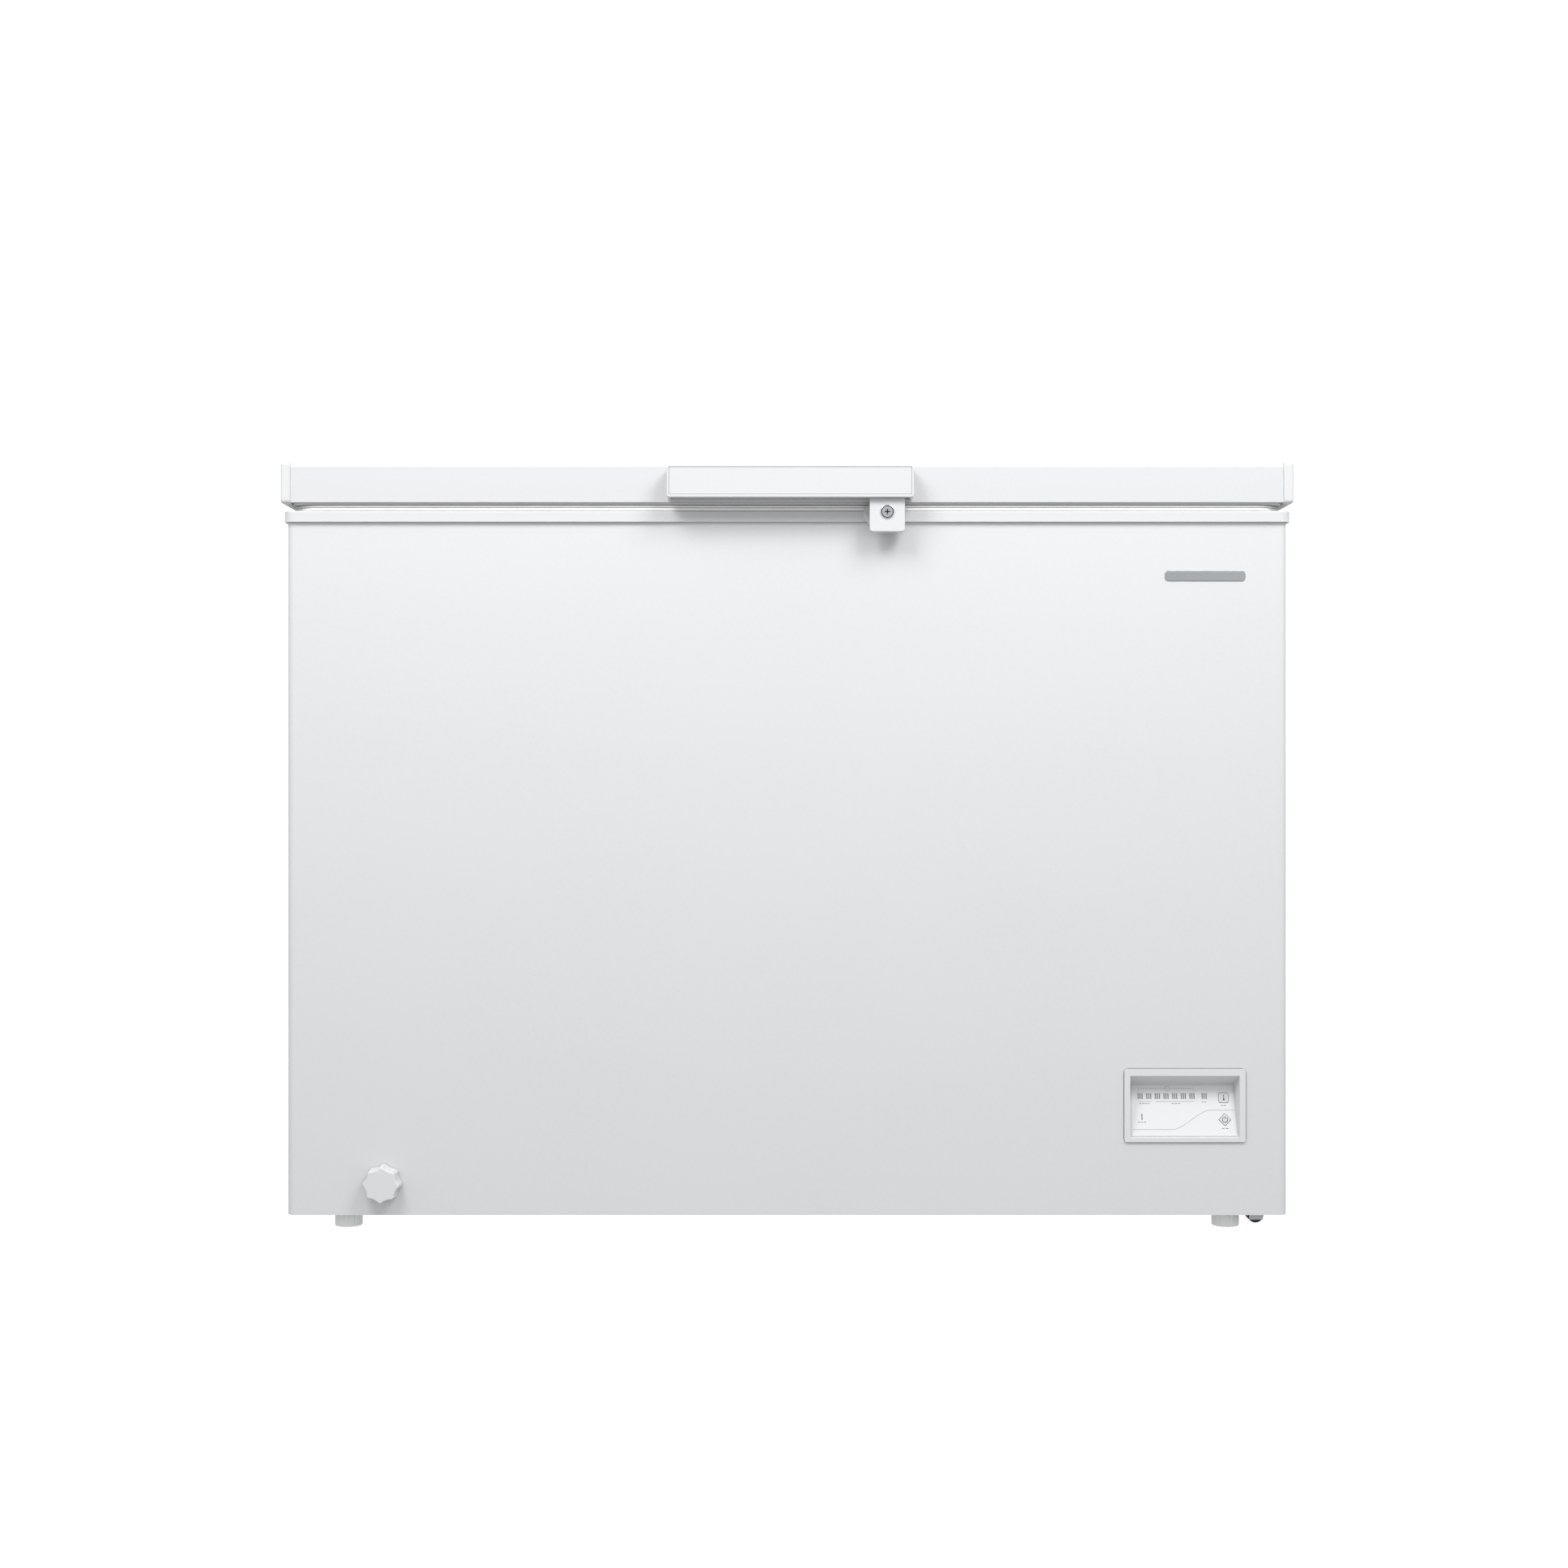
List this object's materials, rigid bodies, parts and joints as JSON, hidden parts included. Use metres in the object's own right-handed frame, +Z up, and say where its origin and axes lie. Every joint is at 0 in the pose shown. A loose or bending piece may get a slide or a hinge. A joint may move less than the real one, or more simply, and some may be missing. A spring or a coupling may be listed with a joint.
{
  "type": "chest freezer",
  "caption": "Chest freezer with a sprung top-opening lid, hooded handle, cam lock, control panel, drain dial, wire basket, feet and rollers.",
  "frame": {"origin": "on the floor, at the centre of the footprint's bounding box", "axes": "+X to the right as the user stands in front, -Y towards the user, +Z up"},
  "size_m": [1.118, 0.6456, 0.85],
  "materials": {
    "paint_white": "gloss",
    "paint_grey": "satin",
    "paint_black": "satin",
    "steel_zinc": "satin",
    "chrome_bright": "polished",
    "liner_white": "satin",
    "plastic_white": "satin",
    "plastic_white_matte": "satin",
    "plastic_black": "satin",
    "plastic_grey": "satin",
    "nylon_white": "satin",
    "board_green": "satin",
    "foam_cream": "matte",
    "gasket_grey": "matte",
    "rubber_black": "matte",
    "copper_tube": "satin",
    "wire_white": "gloss"
  },
  "bodies": {
    "cabinet": {"back_panel": "paint_grey", "badge_plate": "chrome_bright", "base_pan": "steel_zinc", "cabinet_wrap": "paint_white", "compressor": "paint_black", "compressor_bolts": "steel_zinc", "compressor_deck": "steel_zinc", "compressor_grommets": "rubber_black", "condenser_coil": "steel_zinc", "control_bezel": "plastic_white", "control_board": "board_green", "control_overlay": "plastic_white_matte", "cord_gland": "plastic_black", "drain_outlet": "plastic_white_matte", "evaporator_coil": "copper_tube", "hinge_channel_left": "steel_zinc", "hinge_channel_right": "steel_zinc", "hinge_pins": "steel_zinc", "hinge_spring_left": "steel_zinc", "hinge_spring_right": "steel_zinc", "inner_liner": "liner_white", "insulation_foam": "foam_cream", "lock_striker": "plastic_white_matte", "panel_screws": "steel_zinc", "rear_cover": "steel_zinc", "refrigerant_pipes": "copper_tube", "relay_cover": "plastic_black", "roller_brackets": "steel_zinc", "top_collar": "plastic_white", "vent_grille": "plastic_white_matte"},
    "lid": {"lid_skin": "paint_white", "lid_end_cap_left": "plastic_white", "lid_end_cap_right": "plastic_white", "lid_foam": "foam_cream", "lid_liner": "plastic_white_matte", "lid_gasket": "gasket_grey", "handle_body": "plastic_white", "handle_face": "plastic_white", "lock_housing": "plastic_white", "lock_cylinder": "chrome_bright", "hinge_arm_left": "steel_zinc", "hinge_arm_right": "steel_zinc", "lid_hinge_screws": "steel_zinc"},
    "lock": {"lock_plug": "chrome_bright", "lock_cam": "steel_zinc"},
    "temperature_key": {"temperature_button": "plastic_white"},
    "power_key": {"power_button": "plastic_white"},
    "drain_slide": {"drain_seal": "rubber_black", "drain_tube": "plastic_white_matte"},
    "drain_dial": {"drain_knob": "plastic_white"},
    "drain_stopper": {"drain_plug": "plastic_grey"},
    "basket": {"wire_basket": "wire_white"},
    "hinge_slide_left": {"hinge_slider_left": "nylon_white"},
    "hinge_slide_right": {"hinge_slider_right": "nylon_white"},
    "foot_front_left": {"levelling_foot_front_left": "plastic_white_matte"},
    "foot_front_right": {"levelling_foot_front_right": "plastic_white_matte"},
    "foot_rear_left": {"levelling_foot_rear_left": "plastic_white_matte"},
    "foot_rear_right": {"levelling_foot_rear_right": "plastic_white_matte"},
    "roller_front": {"transport_roller_front": "plastic_black"},
    "roller_rear": {"transport_roller_rear": "plastic_black"}
  },
  "joints": [
    {"name": "lid_open", "type": "hinge", "parent": "cabinet", "child": "lid", "pos_m": [0, 0.30775, 0.8], "axis": [-1, 0, 0], "range_deg": [0, 80]},
    {"name": "lock_turn", "type": "hinge", "parent": "lid", "child": "lock", "pos_m": [0.1097, -0.31, 0.792], "axis": [0, 1, 0], "range_deg": [0, 90]},
    {"name": "temperature_press", "type": "slide", "parent": "cabinet", "child": "temperature_key", "axis": [0, 0.9641, -0.2657], "range_m": [0, 0.0005], "stiffness_N_per_m": 400, "springref_m": -0.0005},
    {"name": "power_press", "type": "slide", "parent": "cabinet", "child": "power_key", "axis": [0, 0.9641, -0.2657], "range_m": [0, 0.0005], "stiffness_N_per_m": 400, "springref_m": -0.0005},
    {"name": "drain_pull", "type": "slide", "parent": "cabinet", "child": "drain_slide", "axis": [0, -1, 0], "range_m": [0, 0.015]},
    {"name": "drain_turn", "type": "hinge", "parent": "drain_slide", "child": "drain_dial", "pos_m": [-0.4465, -0.295, 0.0529], "axis": [0, 1, 0], "range_deg": [0, 180]},
    {"name": "drain_plug_lift", "type": "slide", "parent": "cabinet", "child": "drain_stopper", "axis": [0, 0, 1], "range_m": [0, 0.03]},
    {"name": "basket_slide", "type": "slide", "parent": "cabinet", "child": "basket", "axis": [-1, 0, 0], "range_m": [0, 0.685]},
    {"name": "hinge_slide_left_lift", "type": "slide", "parent": "cabinet", "child": "hinge_slide_left", "axis": [0, 0, 1], "range_m": [0, 0.0115], "deforming": ["hinge_spring_left"]},
    {"name": "hinge_slide_right_lift", "type": "slide", "parent": "cabinet", "child": "hinge_slide_right", "axis": [0, 0, 1], "range_m": [0, 0.0115], "deforming": ["hinge_spring_right"]},
    {"name": "foot_front_left_turn", "type": "hinge", "parent": "cabinet", "child": "foot_front_left", "pos_m": [-0.491, -0.25725, 0.02], "axis": [0, 0, 1], "continuous": true},
    {"name": "foot_front_right_turn", "type": "hinge", "parent": "cabinet", "child": "foot_front_right", "pos_m": [0.491, -0.25725, 0.02], "axis": [0, 0, 1], "continuous": true},
    {"name": "foot_rear_left_turn", "type": "hinge", "parent": "cabinet", "child": "foot_rear_left", "pos_m": [-0.491, 0.24875, 0.02], "axis": [0, 0, 1], "continuous": true},
    {"name": "foot_rear_right_turn", "type": "hinge", "parent": "cabinet", "child": "foot_rear_right", "pos_m": [0.491, 0.24875, 0.02], "axis": [0, 0, 1], "continuous": true},
    {"name": "roller_front_spin", "type": "hinge", "parent": "cabinet", "child": "roller_front", "pos_m": [0.5195, -0.27425, 0.0165], "axis": [0, 1, 0], "continuous": true},
    {"name": "roller_rear_spin", "type": "hinge", "parent": "cabinet", "child": "roller_rear", "pos_m": [0.5195, 0.26375, 0.0165], "axis": [0, 1, 0], "continuous": true}
  ],
  "couplings": [
    {"joint": "hinge_slide_left_lift", "follows": "lid_open", "m_per_rad": 0.008},
    {"joint": "hinge_slide_right_lift", "follows": "lid_open", "m_per_rad": 0.008}
  ]
}
